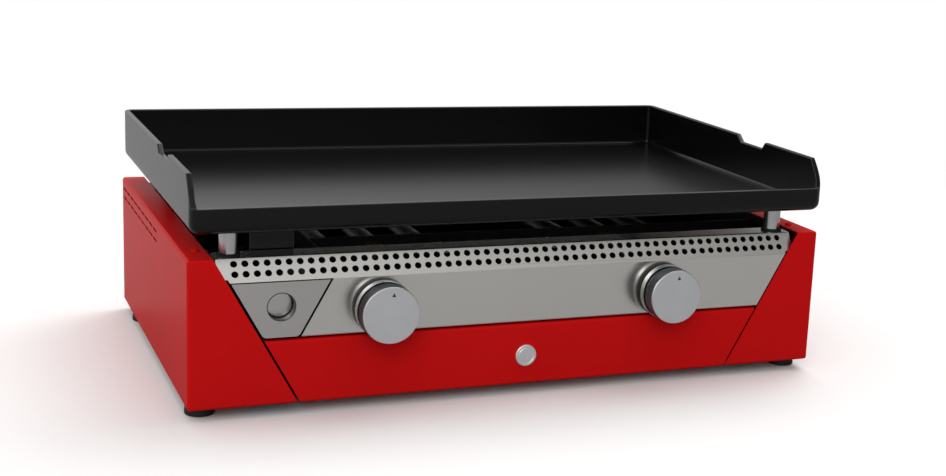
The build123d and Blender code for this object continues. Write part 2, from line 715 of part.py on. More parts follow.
# distances in front of the panel
cap_back = knob_reach - cap_thickness
grip_back = gasket_thickness + bezel_length + push_travel + grip_gap
grip_length = cap_back - grip_back
skirt_back = gasket_thickness + push_travel + skirt_gap
skirt_length = grip_back - skirt_back
spindle_front = cap_back - grip_floor
for side, hand in sides:
    centre = (side * knob_x, knob_z)
    with BuildPart() as bezel:
        with BuildSketch(Plane.XZ.offset(-front_y + gasket_thickness)):
            with Locations(centre):
                Circle(bezel_radius)
                Circle(bezel_bore, mode=Mode.SUBTRACT)
        extrude(amount=bezel_length)
        fillet(bezel.edges().filter_by(GeomType.CIRCLE).group_by(Axis.Y)[0], radius=bezel_edge)
    bezel.part.label = f"knob_bezel_{hand}"
    export_step(bezel.part, f"parts/knob_bezel_{hand}.step")

    with BuildPart() as grip:
        with BuildSketch(Plane.XZ.offset(-front_y + grip_back)):
            with Locations(centre):
                Circle(grip_radius)
        extrude(amount=grip_length)
        with BuildSketch(Plane.XZ.offset(-front_y + skirt_back)):
            with Locations(centre):
                Circle(skirt_radius)
                Circle(skirt_radius - skirt_wall, mode=Mode.SUBTRACT)
        extrude(amount=skirt_length)
        with BuildSketch(Plane.XZ.offset(-front_y + skirt_back)):
            with Locations(centre):
                Circle(hub_radius)
        extrude(amount=skirt_length)
        with BuildSketch(Plane.XZ.offset(-front_y + skirt_back)):
            with Locations(centre):
                Circle(spindle_radius)
        extrude(amount=spindle_front - skirt_back, mode=Mode.SUBTRACT)
    grip.part.label = f"knob_grip_{hand}"
    export_step(grip.part, f"parts/knob_grip_{hand}.step")

    with BuildPart() as cap:
        with BuildSketch(Plane.XZ.offset(-front_y + cap_back)):
            with Locations(centre):
                Circle(knob_radius)
        extrude(amount=cap_thickness)
        fillet(cap.faces().sort_by(Axis.Y)[0].edges(), radius=cap_edge)
    cap.part.label = f"knob_cap_{hand}"
    export_step(cap.part, f"parts/knob_cap_{hand}.step")

    spindle_length = spindle_front + bonnet_start + bonnet_length + 10
    with BuildPart() as spindle:
        with BuildSketch(Plane.XZ.offset(-front_y + spindle_front)):
            with Locations(centre):
                Circle(spindle_radius)
        extrude(amount=-spindle_length)
    spindle.part.label = f"valve_spindle_{hand}"
    export_step(spindle.part, f"parts/valve_spindle_{hand}.step")

    # spring cup and return spring in the valve's bonnet: they move in and out, but don't turn
    cup_front = -(bonnet_start + 2.2)
    with BuildPart() as spring_cup:
        with BuildSketch(Plane.XZ.offset(-front_y + cup_front)):
            with Locations(centre):
                Circle(cup_radius)
                Circle(spindle_radius + running_gap, mode=Mode.SUBTRACT)
        extrude(amount=-cup_length)
    spring_cup.part.label = f"spring_cup_{hand}"
    export_step(spring_cup.part, f"parts/spring_cup_{hand}.step")

    spring_start = front_y - cup_front + cup_length + spring_wire + 0.05
    coil = Helix(pitch=1.5, height=spring_length, radius=spring_radius)
    coil = Plane(origin=(centre[0], spring_start, centre[1]), z_dir=(0, 1, 0)) * coil
    with BuildPart() as return_spring:
        with BuildSketch(Plane(origin=coil @ 0, z_dir=coil % 0)):
            Circle(spring_wire)
        sweep(path=coil, is_frenet=True)
    return_spring.part.label = f"return_spring_{hand}"
    export_step(return_spring.part, f"parts/return_spring_{hand}.step")

    # brass gas valve: bonnet, body, outlet and a saddle on the manifold
    with BuildPart() as valve:
        with BuildSketch(Plane.XZ.offset(-valve_y)):
            with Locations(centre):
                Circle(bonnet_radius)
        extrude(amount=bonnet_length)
        with BuildSketch(Plane.XZ.offset(-valve_y)):
            with Locations(centre):
                Rectangle(valve_width, valve_height)
        extrude(amount=-valve_depth)
        fillet(valve.edges().filter_by(Axis.Y).group_by(Axis.Y)[-1], radius=2.5)
        with BuildSketch(Plane.XZ.offset(-valve_y - valve_depth)):
            with Locations(centre):
                Circle(outlet_radius)
        extrude(amount=-outlet_length)
        with BuildSketch(Plane.XY.offset(manifold_z)):
            with Locations((centre[0], manifold_y)):
                Rectangle(valve_width - 4, valve_depth - 2)
        extrude(amount=knob_z - valve_height / 2 - manifold_z)
        with BuildSketch(Plane.YZ.offset(centre[0] - valve_width)):
            with Locations((manifold_y, manifold_z)):
                Circle(manifold_radius)
        extrude(amount=2 * valve_width, mode=Mode.SUBTRACT)
        # cavity for the spring cup, bores for the spindle
        with BuildSketch(Plane.XZ.offset(-valve_y)):
            with Locations(centre):
                Circle(bonnet_cavity)
        extrude(amount=bonnet_length - 1.8, mode=Mode.SUBTRACT)
        with BuildSketch(Plane.XZ.offset(-valve_y + bonnet_length)):
            with Locations(centre):
                Circle(spindle_radius + running_gap)
        extrude(amount=-bonnet_length - 10 - push_travel - 1, mode=Mode.SUBTRACT)
    valve.part.label = f"gas_valve_{hand}"
    export_step(valve.part, f"parts/gas_valve_{hand}.step")

# Manifold tube along the back of the valves
manifold_left = -knob_x - manifold_overrun
with BuildPart() as manifold:
    with BuildSketch(Plane.YZ.offset(manifold_left)):
        with Locations((manifold_y, manifold_z)):
            Circle(manifold_radius)
    extrude(amount=manifold_right_end - manifold_left)
    with BuildSketch(Plane.YZ.offset(manifold_left + 3)):
        with Locations((manifold_y, manifold_z)):
            Circle(manifold_radius - manifold_wall)
    extrude(amount=manifold_right_end - manifold_left - 6, mode=Mode.SUBTRACT)
    with BuildSketch(Plane.YZ.offset(manifold_right_end)):
        with Locations((manifold_y, manifold_z)):
            Circle(pipe_radius)
    extrude(amount=-3, mode=Mode.SUBTRACT)
manifold.part.label = "manifold"
export_step(manifold.part, "parts/manifold.step")

# Supply pipe from the inlet fitting to the manifold
fitting_front_y = rear_y - 22.0
pipe_line = FilletPolyline(
    (manifold_right_end - 3, manifold_y, manifold_z),
    (inlet_x, manifold_y, manifold_z),
    (inlet_x, fitting_front_y + 8, manifold_z),
    radius=pipe_bend,
)
with BuildPart() as supply_pipe:
    with BuildSketch(Plane(origin=pipe_line @ 0, z_dir=pipe_line % 0)):
        Circle(pipe_radius)
        Circle(pipe_radius - pipe_wall, mode=Mode.SUBTRACT)
    sweep(path=pipe_line)
supply_pipe.part.label = "supply_pipe"
export_step(supply_pipe.part, "parts/supply_pipe.step")

with BuildPart() as gas_inlet:
    with BuildSketch(Plane.XZ.offset(-fitting_front_y)):
        with Locations((inlet_x, manifold_z)):
            Circle(inlet_radius - 1.2)
    extrude(amount=-(rear_y - fitting_front_y))
    with BuildSketch(Plane.XZ.offset(-rear_y)):
        with Locations((inlet_x, manifold_z)):
            RegularPolygon(radius=inlet_hex, side_count=6)
    extrude(amount=-inlet_hex_length)
    with BuildSketch(Plane.XZ.offset(-rear_y - inlet_hex_length)):
        with Locations((inlet_x, manifold_z)):
            Circle(inlet_radius)
    extrude(amount=-(inlet_reach - inlet_hex_length))
    with BuildSketch(Plane.XZ.offset(-fitting_front_y)):
        with Locations((inlet_x, manifold_z)):
            Circle(pipe_radius)
    extrude(amount=-8, mode=Mode.SUBTRACT)
    with BuildSketch(Plane.XZ.offset(-fitting_front_y)):
        with Locations((inlet_x, manifold_z)):
            Circle(pipe_radius - pipe_wall)
    extrude(amount=-60, mode=Mode.SUBTRACT)
gas_inlet.part.label = "gas_inlet"
export_step(gas_inlet.part, "parts/gas_inlet.step")

# Firebox rails. The front one holds the injectors, the rear one the rear griddle legs
partition_x = -(half_width - 117.0 - 5.0)
fire_x = [side * burner_centre + limb * limb_half_gap for side in (-1, 1) for limb in (-1, 1)]
rear_rail_top_z = ledge_z + sheet
electrode_x = [side * (burner_centre - limb_half_gap - 18) for side in (-1, 1)]
thermocouple_x = [side * (burner_centre - limb_half_gap + 18) for side in (-1, 1)]
with BuildPart() as front_rail:
    with BuildSketch(Plane.XZ.offset(-rail_y)):
        with Locations(((partition_x + baffle_x) / 2, (pan_z + burner_z + 14) / 2)):
            Rectangle(baffle_x - partition_x, burner_z + 14 - pan_z)
        with Locations(*[(x, burner_z) for x in fire_x]):
            Circle(stub_radius + pin_gap, mode=Mode.SUBTRACT)
        with Locations(*[(side * burner_centre, burner_z) for side in (-1, 1)]):
            Circle(6.0, mode=Mode.SUBTRACT)
        with Locations(*[(x, burner_z + 2) for x in electrode_x]):
            Circle(3.5, mode=Mode.SUBTRACT)
        with Locations(*[(x, burner_z + 2) for x in thermocouple_x]):
            Circle(2.2, mode=Mode.SUBTRACT)
        with Locations((inlet_x, manifold_z)):
            Circle(pipe_radius + 1, mode=Mode.SUBTRACT)
    extrude(amount=-sheet)
    with BuildSketch(Plane.XY.offset(pan_z)):
        with Locations(((partition_x + baffle_x - 14) / 2, rail_y + 6)):
            Rectangle(baffle_x - 14 - partition_x, 12)
    extrude(amount=sheet)
front_rail.part.label = "front_rail"
export_step(front_rail.part, "parts/front_rail.step")

rail_flange = 36.0
with BuildPart() as rear_rail:
    with BuildSketch(Plane.XZ.offset(-rear_rail_y)):
        with Locations((0, (pan_z + rear_rail_top_z) / 2)):
            Rectangle(2 * baffle_x, rear_rail_top_z - pan_z)
        with Locations(*[(x, burner_z) for x in fire_x]):
            Circle(stub_radius + pin_gap, mode=Mode.SUBTRACT)
        with Locations((inlet_x, manifold_z)):
            Circle(pipe_radius + 1, mode=Mode.SUBTRACT)
    extrude(amount=-sheet)
    with BuildSketch(Plane.XY.offset(ledge_z)):
        with Locations((0, rear_rail_y + rail_flange / 2)):
            Rectangle(2 * baffle_x, rail_flange)
        with Locations(*leg_places):
            Circle(leg_stud_radius + pin_gap, mode=Mode.SUBTRACT)
    extrude(amount=sheet)
rear_rail.part.label = "rear_rail"
export_step(rear_rail.part, "parts/rear_rail.step")

with BuildPart() as tray_partition:
    with BuildSketch(Plane.YZ.offset(partition_x - sheet)):
        with Locations(((front_y + 46 + rear_rail_y) / 2, (pan_z + burner_z + 14) / 2)):
            Rectangle(rear_rail_y - front_y - 46, burner_z + 14 - pan_z)
    extrude(amount=sheet)
tray_partition.part.label = "tray_partition"
export_step(tray_partition.part, "parts/tray_partition.step")

baffle_z = burner_z - limb_radius - 14
with BuildPart() as heat_baffle:
    with BuildSketch(Plane.XY.offset(baffle_z)):
        with Locations(((partition_x + baffle_x) / 2, (rail_y + sheet + rear_rail_y) / 2)):
            Rectangle(baffle_x - partition_x, rear_rail_y - rail_y - sheet)
    extrude(amount=sheet)
heat_baffle.part.label = "heat_baffle"
export_step(heat_baffle.part, "parts/heat_baffle.step")

# Burners: two limbs joined by a cross tube, fed by a mixing tube from the front
limb_front_y = rail_y + sheet
limb_length = rear_rail_y - limb_front_y
cross_y = limb_front_y + limb_length / 2
mixer_front_y = limb_front_y + 12.0
for side, hand in sides:
    middle = side * burner_centre
    limbs = [(middle + s * limb_half_gap, burner_z) for s in (-1, 1)]
    with BuildPart() as burner:
        for radius, inset, mode in ((limb_radius, 0.0, Mode.ADD), (limb_radius - limb_wall, limb_wall, Mode.SUBTRACT)):
            with BuildSketch(Plane.XZ.offset(-limb_front_y - inset)):
                with Locations(*limbs):
                    Circle(radius)
            extrude(amount=-limb_length + 2 * inset, mode=mode)
            with BuildSketch(Plane.XZ.offset(-mixer_front_y)):
                with Locations((middle, burner_z)):
                    Circle(radius)
            extrude(amount=-(cross_y - mixer_front_y), mode=mode)
            with BuildSketch(Plane.YZ.offset(middle - limb_half_gap)):
                with Locations((cross_y, burner_z)):
                    Circle(radius - 0.4)
            extrude(amount=2 * limb_half_gap, mode=mode)
        # gas ports across the top of each limb
        port_pitch = (limb_length - 24) / port_count
        for half in (-1, 1):
            with BuildSketch(Plane.XY.offset(burner_z + limb_radius + 1)):
                with Locations((middle, cross_y + half * limb_length / 4)):
                    with GridLocations(2 * limb_half_gap, port_pitch, 2, port_count // 2):
                        SlotOverall(port_length, port_width)
            extrude(amount=-limb_wall - 3.5, mode=Mode.SUBTRACT)
        # locating stubs at both ends
        for y, amount in ((limb_front_y, stub_length), (rear_rail_y, -stub_length)):
            with BuildSketch(Plane.XZ.offset(-y)):
                with Locations(*limbs):
                    Circle(stub_radius)
            extrude(amount=amount)
    burner.part.label = f"burner_{hand}"
    export_step(burner.part, f"parts/burner_{hand}.step")

    # injector on the front rail, fed by a bent tube from the valve
    injector_y = rail_y - 8.0
    with BuildPart() as injector:
        with BuildSketch(Plane.XZ.offset(-injector_y)):
            with Locations((middle, burner_z)):
                RegularPolygon(radius=9.0, side_count=6)
        extrude(amount=-8.0)
        with BuildSketch(Plane.XZ.offset(-rail_y)):
            with Locations((middle, burner_z)):
                Circle(5.9)
        extrude(amount=-4.0)
        with BuildSketch(Plane.XZ.offset(-rail_y - 4.0)):
            with Locations((middle, burner_z)):
                Circle(3.2)
        extrude(amount=-6.0)
        with BuildSketch(Plane.XZ.offset(-injector_y)):
            with Locations((middle, burner_z)):
                Circle(feed_radius)
        extrude(amount=-5.0, mode=Mode.SUBTRACT)
        with BuildSketch(Plane.XZ.offset(-injector_y)):
            with Locations((middle, burner_z)):
                Circle(0.6)
        extrude(amount=-20.0, mode=Mode.SUBTRACT)
    injector.part.label = f"injector_{hand}"
    export_step(injector.part, f"parts/injector_{hand}.step")

    feed_line = FilletPolyline(
        (side * knob_x, outlet_y, knob_z),
        (side * knob_x, outlet_y + 14, knob_z),
        (middle, outlet_y + 14, burner_z),
        (middle, injector_y + 5, burner_z),
        radius=9.0,
    )
    with BuildPart() as feed_tube:
        with BuildSketch(Plane(origin=feed_line @ 0, z_dir=feed_line % 0)):
            Circle(feed_radius)
            Circle(feed_radius - 1, mode=Mode.SUBTRACT)
        sweep(path=feed_line)
    feed_tube.part.label = f"feed_tube_{hand}"
    export_step(feed_tube.part, f"parts/feed_tube_{hand}.step")

# Spark electrodes and thermocouples, pushed through the front rail beside the inner limbs
with BuildPart() as electrodes:
    with BuildSketch(Plane.XZ.offset(-rail_y + 18)):
        with Locations(*[(x, burner_z + 2) for x in electrode_x]):
            Circle(3.5)
    extrude(amount=-38)
    fillet(electrodes.edges().filter_by(GeomType.CIRCLE), radius=0.8)
    with BuildSketch(Plane.XZ.offset(-rail_y - 20)):
        with Locations(*[(x, burner_z + 2) for x in electrode_x]):
            Circle(1.1)
    extrude(amount=-14)
electrodes.part.label = "electrodes"
export_step(electrodes.part, "parts/electrodes.step")

with BuildPart() as thermocouples:
    with BuildSketch(Plane.XZ.offset(-rail_y + 12)):
        with Locations(*[(x, burner_z + 2) for x in thermocouple_x]):
            Circle(2.2)
    extrude(amount=-46)
    fillet(thermocouples.faces().filter_by(Axis.Y).group_by(Axis.Y)[-1].edges(), radius=1.2)
thermocouples.part.label = "thermocouples"
export_step(thermocouples.part, "parts/thermocouples.step")

# Battery spark module on the base pan
with BuildPart() as igniter_module:
    with BuildSketch(Plane.XY.offset(pan_z)):
        with Locations((0, front_y + 62)):
            RectangleRounded(64, 34, 4)
    extrude(amount=24)
    fillet(igniter_module.faces().sort_by(Axis.Z)[-1].edges(), radius=2)
    with BuildSketch(Plane.XY.offset(pan_z + 24)):
        with Locations((-14, front_y + 62)):
            Circle(9)
            Circle(7.5, mode=Mode.SUBTRACT)
    extrude(amount=-1, mode=Mode.SUBTRACT)
igniter_module.part.label = "igniter_module"
export_step(igniter_module.part, "parts/igniter_module.step")

# Griddle legs: steel spacers on washers, front pair on the panel, rear pair on the rear rail
plate_z = top_z + plate_lift
with BuildPart() as leg_washers:
    with BuildSketch(Plane.XY.offset(panel_top_z)):
        with Locations(*leg_places):
            Circle(leg_washer_radius)
            Circle(leg_stud_radius + pin_gap, mode=Mode.SUBTRACT)
    extrude(amount=leg_washer)
leg_washers.part.label = "leg_washers"
export_step(leg_washers.part, "parts/leg_washers.step")

for s, hand in sides:
    for row, y in zip(("front", "rear"), leg_ys):
        with BuildPart() as leg:
            with BuildSketch(Plane.XY.offset(panel_top_z + leg_washer)):
                with Locations((s * (half_width - leg_inset), y)):
                    Circle(leg_radius)
            extrude(amount=plate_z - panel_top_z - leg_washer)
            chamfer(leg.edges().filter_by(GeomType.CIRCLE), length=0.8)
            with BuildSketch(Plane.XY.offset(panel_top_z + leg_washer)):
                with Locations((s * (half_width - leg_inset), y)):
                    Circle(leg_stud_radius)
            extrude(amount=-leg_washer - sheet - 7)
        leg.part.label = f"leg_{row}_{hand}"
        export_step(leg.part, f"parts/leg_{row}_{hand}.step")

# Griddle: a thick plate with a low front lip and high side and back walls
plate_front_y = front_y - plate_front_overhang
plate_back_y = rear_y - plate_rear_setback
plate_half = half_width - plate_side_setback
plate_mid_y = (plate_front_y + plate_back_y) / 2
chute_y = front_y + chute_setback + chute_depth / 2
with BuildPart() as pan_hollow:
    with BuildSketch(Plane.XY.offset(plate_z + plate_thickness)):
        with Locations((0, plate_mid_y)):
            Rectangle(
                2 * (plate_half - plate_thickness),
                plate_back_y - plate_front_y - 2 * plate_thickness,
            )
    extrude(amount=wall_height + 20)
    fillet(pan_hollow.edges().filter_by(Axis.Z), radius=inner_corner)
    fillet(pan_hollow.faces().sort_by(Axis.Z)[0].edges(), radius=inner_floor_edge)

lip_z = plate_z + lip_height
wall_z = plate_z + wall_height
with BuildPart() as griddle:
    with BuildSketch(Plane.XY.offset(plate_z)):
        with Locations((0, plate_mid_y)):
            Rectangle(2 * plate_half, plate_back_y - plate_front_y)
    extrude(amount=wall_height)
    fillet(griddle.edges().filter_by(Axis.Z), radius=plate_corner)
    fillet(griddle.faces().sort_by(Axis.Z)[0].edges(), radius=plate_bottom_edge)
    add(pan_hollow.part, mode=Mode.SUBTRACT)
    # low lip and slanted wall fronts
    with BuildSketch(Plane.YZ.offset(-plate_half - 5)):
        with BuildLine():
            slant_foot = (plate_front_y + plate_thickness, lip_z)
            slant_head = (plate_front_y + plate_thickness + wall_slant, wall_z)
            Polyline(
                slant_head,
                (plate_front_y - 10, wall_z + 10),
                (plate_front_y - 10, lip_z),
                slant_foot,
            )
            Spline(
                slant_foot,
                slant_head,
                tangents=((0.25, 1), (0.85, 1)),
            )
        make_face()
    extrude(amount=2 * plate_half + 10, mode=Mode.SUBTRACT)
    # resting notch in the top of each side wall
    notch_y = plate_front_y + notch_start
    with BuildSketch(Plane.YZ.offset(-plate_half - 5)):
        with BuildLine():
            Polyline(
                (notch_y - 1, wall_z + 1),
                (notch_y + notch_slope * 0.6, wall_z - notch_depth),
                (notch_y + notch_length - notch_slope, wall_z - notch_depth),
                (notch_y + notch_length + 1, wall_z + 1),
                close=True,
            )
        make_face()
    extrude(amount=2 * plate_half + 10, mode=Mode.SUBTRACT)
    # softened rim: walls and notches first, then the lip and the slanted fronts
    notch_floor_z = wall_z - notch_depth
    fillet([e for e in griddle.edges() if e.bounding_box().min.Z > notch_floor_z - 0.1], radius=rim_edge)
    fillet([e for e in griddle.edges() if lip_z - 0.1 < e.bounding_box().min.Z < notch_floor_z - 1], radius=lip_edge)
    # grease drain above the tray
    with BuildSketch(Plane.XY.offset(plate_z)):
        with Locations((tray_x, chute_y)):
            SlotOverall(drain_length, drain_width)
    extrude(amount=plate_thickness + 1, mode=Mode.SUBTRACT)
griddle.part.label = "griddle"
export_step(griddle.part, "parts/griddle.step")

# Grease chute welded under the drain
chute_bottom_z = trough_top_z + chute_clearance
with BuildPart() as grease_chute:
    with BuildSketch(Plane.XY.offset(chute_bottom_z)):
        with Locations((tray_x, chute_y)):
            Rectangle(chute_width, chute_depth)
            Rectangle(chute_width - 2 * chute_wall, chute_depth - 2 * chute_wall, mode=Mode.SUBTRACT)
    extrude(amount=plate_z - chute_bottom_z)
grease_chute.part.label = "grease_chute"
export_step(grease_chute.part, "parts/grease_chute.step")
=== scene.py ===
import json
import math

import bpy
from mathutils import Matrix, Vector


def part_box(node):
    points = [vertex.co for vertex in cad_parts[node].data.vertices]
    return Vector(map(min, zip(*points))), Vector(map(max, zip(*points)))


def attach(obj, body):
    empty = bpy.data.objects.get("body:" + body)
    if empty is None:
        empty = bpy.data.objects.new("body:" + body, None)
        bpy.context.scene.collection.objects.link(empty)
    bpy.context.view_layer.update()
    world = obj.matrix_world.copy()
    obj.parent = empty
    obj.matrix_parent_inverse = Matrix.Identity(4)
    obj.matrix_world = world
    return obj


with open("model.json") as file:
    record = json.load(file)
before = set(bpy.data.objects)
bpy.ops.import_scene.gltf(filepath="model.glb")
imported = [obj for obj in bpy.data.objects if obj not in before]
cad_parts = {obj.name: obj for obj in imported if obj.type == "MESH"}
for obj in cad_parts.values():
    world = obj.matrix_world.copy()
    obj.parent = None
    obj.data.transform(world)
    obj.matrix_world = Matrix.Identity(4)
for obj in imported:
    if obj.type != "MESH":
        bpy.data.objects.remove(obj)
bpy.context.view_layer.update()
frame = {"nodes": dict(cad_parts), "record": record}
nodes = frame["nodes"]
scene = bpy.context.scene
print("frame loaded with", len(nodes), "parts")


# Camera

viewpoint = {
    "place": (-0.5152, -1.4230, 0.4479),
    "turn": 24.753,  # degrees from straight ahead, to the right
    "tilt": -12.557,
    "roll": -3.071,
    "lens": 59.05,
    "shift": -0.1237,
}


def aimed(place, turn, tilt, roll):
    # turns are in degrees; the result is where the camera stands and how it faces
    turn, tilt, roll = (math.radians(angle) for angle in (turn, tilt, roll))
    ahead = Vector((math.sin(turn) * math.cos(tilt), math.cos(turn) * math.cos(tilt), math.sin(tilt)))
    right = ahead.cross(Vector((0, 0, 1))).normalized()
    down = ahead.cross(right)
    rolledRight = right * math.cos(roll) + down * math.sin(roll)
    rolledDown = down * math.cos(roll) - right * math.sin(roll)
    facing = Matrix((rolledRight, -rolledDown, -ahead)).transposed().to_4x4()
    return Matrix.Translation(place) @ facing


cameraData = bpy.data.cameras.new("camera")
cameraData.lens = viewpoint["lens"]
cameraData.shift_x = viewpoint["shift"]
camera = bpy.data.objects.new("camera", cameraData)
camera.matrix_world = aimed(viewpoint["place"], viewpoint["turn"], viewpoint["tilt"], viewpoint["roll"])
scene.collection.objects.link(camera)
scene.camera = camera
scene.view_settings.view_transform = "Standard"
print("camera set")


# Small helpers for node trees

def addNode(tree, kind, values=None, **settings):
    made = tree.nodes.new(kind)
    for key, value in settings.items():
        setattr(made, key, value)
    for key, value in (values or {}).items():
        made.inputs[key].default_value = value
    return made


def cloudField(tree, size, detail, stretch=(1, 1, 1)):
    # soft random field over the part's own coordinates; size is one blotch, in metres
    place = addNode(tree, "ShaderNodeTexCoord")
    spread = addNode(tree, "ShaderNodeMapping", {"Scale": [1 / (size * share) for share in stretch]})
    clouds = addNode(tree, "ShaderNodeTexNoise", {"Scale": 1.0, "Detail": detail})
    tree.links.new(place.outputs["Object"], spread.inputs["Vector"])
    tree.links.new(spread.outputs["Vector"], clouds.inputs["Vector"])
    return clouds.outputs["Fac"]


def between(tree, field, low, high, start=0.3, end=0.7):
    # runs from low, where the field is at start, to high, where it is at end, and no further
    limits = {"From Min": start, "From Max": end, "To Min": low, "To Max": high}
    span = addNode(tree, "ShaderNodeMapRange", limits)
    tree.links.new(field, span.inputs["Value"])
    return span.outputs["Result"]


def mixColours(tree, field, first, second):
    # of a colour mix, input 0 is the share, 6 and 7 are the two colours, output 2 is the blend
    mix = addNode(tree, "ShaderNodeMix", data_type="RGBA")
    tree.links.new(field, mix.inputs[0])
    for socket, colour in ((mix.inputs[6], first), (mix.inputs[7], second)):
        if isinstance(colour, bpy.types.NodeSocket):
            tree.links.new(colour, socket)
        else:
            socket.default_value = (*colour, 1)
    return mix.outputs[2]


edgeTest = {"samples": 6, "open": 0.99, "edge": 0.86}  # open, edge: how well the two normals agree there


def edgeField(tree, reach):
    # 0 on open faces, 1 along edges and inner corners; reach is in metres
    softened = addNode(tree, "ShaderNodeBevel", {"Radius": reach}, samples=edgeTest["samples"])
    true = addNode(tree, "ShaderNodeNewGeometry")
    compare = addNode(tree, "ShaderNodeVectorMath", operation="DOT_PRODUCT")
    tree.links.new(softened.outputs["Normal"], compare.inputs[0])
    tree.links.new(true.outputs["Normal"], compare.inputs[1])
    return between(tree, compare.outputs["Value"], 0.0, 1.0, edgeTest["open"], edgeTest["edge"])


# Studio: pale floor, a sky that is brighter to the left and has one round lamp field above, soft boxes

studio = {
    "horizon": 0.38,  # sky level low down
    "middle": 0.43,  # sky level at mid height
    "climb": (0.1, 0.6),  # the first fades to the second between these heights, of 1 overhead
    "leftward": 0.46,  # added towards the left
    "rightward": -0.30,  # added towards the right
    "across": (0.0, 0.7),  # left fades to right between these, of 1 due right
    "overhead": 2.7,  # added by the round lamp field above
    "overheadTowards": (0.42, 0.25, 0.87),
    "overheadRim": (0.86, 0.98),  # how near to that direction the lamp field starts and is full
    "floorSize": 12.0,
    "floorColour": (0.93, 0.92, 0.915),
    "floorFade": (0.5, 1.3),  # metres from the middle between which the paper turns plain white
    "mirroredFront": 0.34,  # how pale the floor in front looks in the object's reflections
    "mirroredBack": 0.48,  # the same for the floor behind
    "mirroredAlong": (-0.5, 0.85, 0),  # from front to back
    "mirroredSpan": (-0.1, 0.7),  # metres along it between which the first fades to the second
}


def buildSky():
    sky = bpy.data.worlds.new("studioSky")
    scene.world = sky
    sky.use_nodes = True
    tree = sky.node_tree
    tree.nodes.clear()
    place = addNode(tree, "ShaderNodeTexCoord")
    parts = addNode(tree, "ShaderNodeSeparateXYZ")
    tree.links.new(place.outputs["Generated"], parts.inputs["Vector"])
    level = between(tree, parts.outputs["Z"], studio["horizon"], studio["middle"], *studio["climb"])
    sideLight = between(tree, parts.outputs["X"], studio["leftward"], studio["rightward"], *studio["across"])
    towards = Vector(studio["overheadTowards"]).normalized()
    along = addNode(tree, "ShaderNodeVectorMath", {1: towards}, operation="DOT_PRODUCT")
    tree.links.new(place.outputs["Generated"], along.inputs[0])
    topLight = between(tree, along.outputs["Value"], 0.0, studio["overhead"], *studio["overheadRim"])
    for extra in (sideLight, topLight):
        total = addNode(tree, "ShaderNodeMath", operation="ADD")
        tree.links.new(level, total.inputs[0])
        tree.links.new(extra, total.inputs[1])
        level = total.outputs["Value"]
    seen = addNode(tree, "ShaderNodeBackground", {"Color": (1, 1, 1, 1), "Strength": 1.0})
    lighting = addNode(tree, "ShaderNodeBackground", {"Color": (1, 1, 1, 1)})
    tree.links.new(level, lighting.inputs["Strength"])
    path = addNode(tree, "ShaderNodeLightPath")
    choose = addNode(tree, "ShaderNodeMixShader")
    tree.links.new(path.outputs["Is Camera Ray"], choose.inputs["Fac"])
    tree.links.new(lighting.outputs["Background"], choose.inputs[1])
    tree.links.new(seen.outputs["Background"], choose.inputs[2])
    output = addNode(tree, "ShaderNodeOutputWorld")
    tree.links.new(choose.outputs["Shader"], output.inputs["Surface"])


def buildFloor():
    half = studio["floorSize"] / 2
    mesh = bpy.data.meshes.new("floor")
    corners = [(-half, -half, 0), (half, -half, 0), (half, half, 0), (-half, half, 0)]
    mesh.from_pydata(corners, [], [(0, 1, 2, 3)])
    floor = bpy.data.objects.new("floor", mesh)
    scene.collection.objects.link(floor)
    paper = bpy.data.materials.new("floorPaper")
    paper.use_nodes = True
    tree = paper.node_tree
    tree.nodes.clear()
    near = addNode(tree, "ShaderNodeBsdfDiffuse", {"Color": (*studio["floorColour"], 1)})
    far = addNode(tree, "ShaderNodeEmission", {"Color": (1, 1, 1, 1), "Strength": 1.0})
    pale = addNode(tree, "ShaderNodeMixShader")  # the paper fades to plain white far out
    mirrored = addNode(tree, "ShaderNodeBsdfDiffuse")
    place = addNode(tree, "ShaderNodeTexCoord")
    reach = addNode(tree, "ShaderNodeVectorMath", operation="LENGTH")
    tree.links.new(place.outputs["Object"], reach.inputs[0])
    fade = between(tree, reach.outputs["Value"], 0.0, 1.0, *studio["floorFade"])
    tree.links.new(fade, pale.inputs["Fac"])
    tree.links.new(near.outputs["BSDF"], pale.inputs[1])
    tree.links.new(far.outputs["Emission"], pale.inputs[2])
    along = addNode(tree, "ShaderNodeVectorMath", {1: studio["mirroredAlong"]}, operation="DOT_PRODUCT")
    tree.links.new(place.outputs["Object"], along.inputs[0])
    front, back = studio["mirroredFront"], studio["mirroredBack"]
    level = between(tree, along.outputs["Value"], front, back, *studio["mirroredSpan"])
    tree.links.new(level, mirrored.inputs["Color"])
    path = addNode(tree, "ShaderNodeLightPath")
    choose = addNode(tree, "ShaderNodeMixShader")
    tree.links.new(path.outputs["Is Camera Ray"], choose.inputs["Fac"])
    tree.links.new(mirrored.outputs["BSDF"], choose.inputs[1])
    tree.links.new(pale.outputs["Shader"], choose.inputs[2])
    output = addNode(tree, "ShaderNodeOutputMaterial")
    tree.links.new(choose.outputs["Shader"], output.inputs["Surface"])
    mesh.materials.append(paper)


softBoxes = [
    {"name": "keyBox", "place": (1.3, 0.9, 1.8), "aim": (0, 0, 0.1), "size": 1.2, "watts": 7},
    {"name": "frontBox", "place": (-1.1, -2.6, 1.6), "aim": (0, 0, 0.1), "size": 1.6, "watts": 18},
]


def buildLights():
    for box in softBoxes:
        lightData = bpy.data.lights.new(box["name"], "AREA")
        lightData.size = box["size"]
        lightData.energy = box["watts"]
        light = bpy.data.objects.new(box["name"], lightData)
        light.location = box["place"]
        away = Vector(box["place"]) - Vector(box["aim"])
        light.rotation_euler = away.to_track_quat("Z", "Y").to_euler()
        scene.collection.objects.link(light)


buildSky()
buildFloor()
buildLights()
print("studio lit")


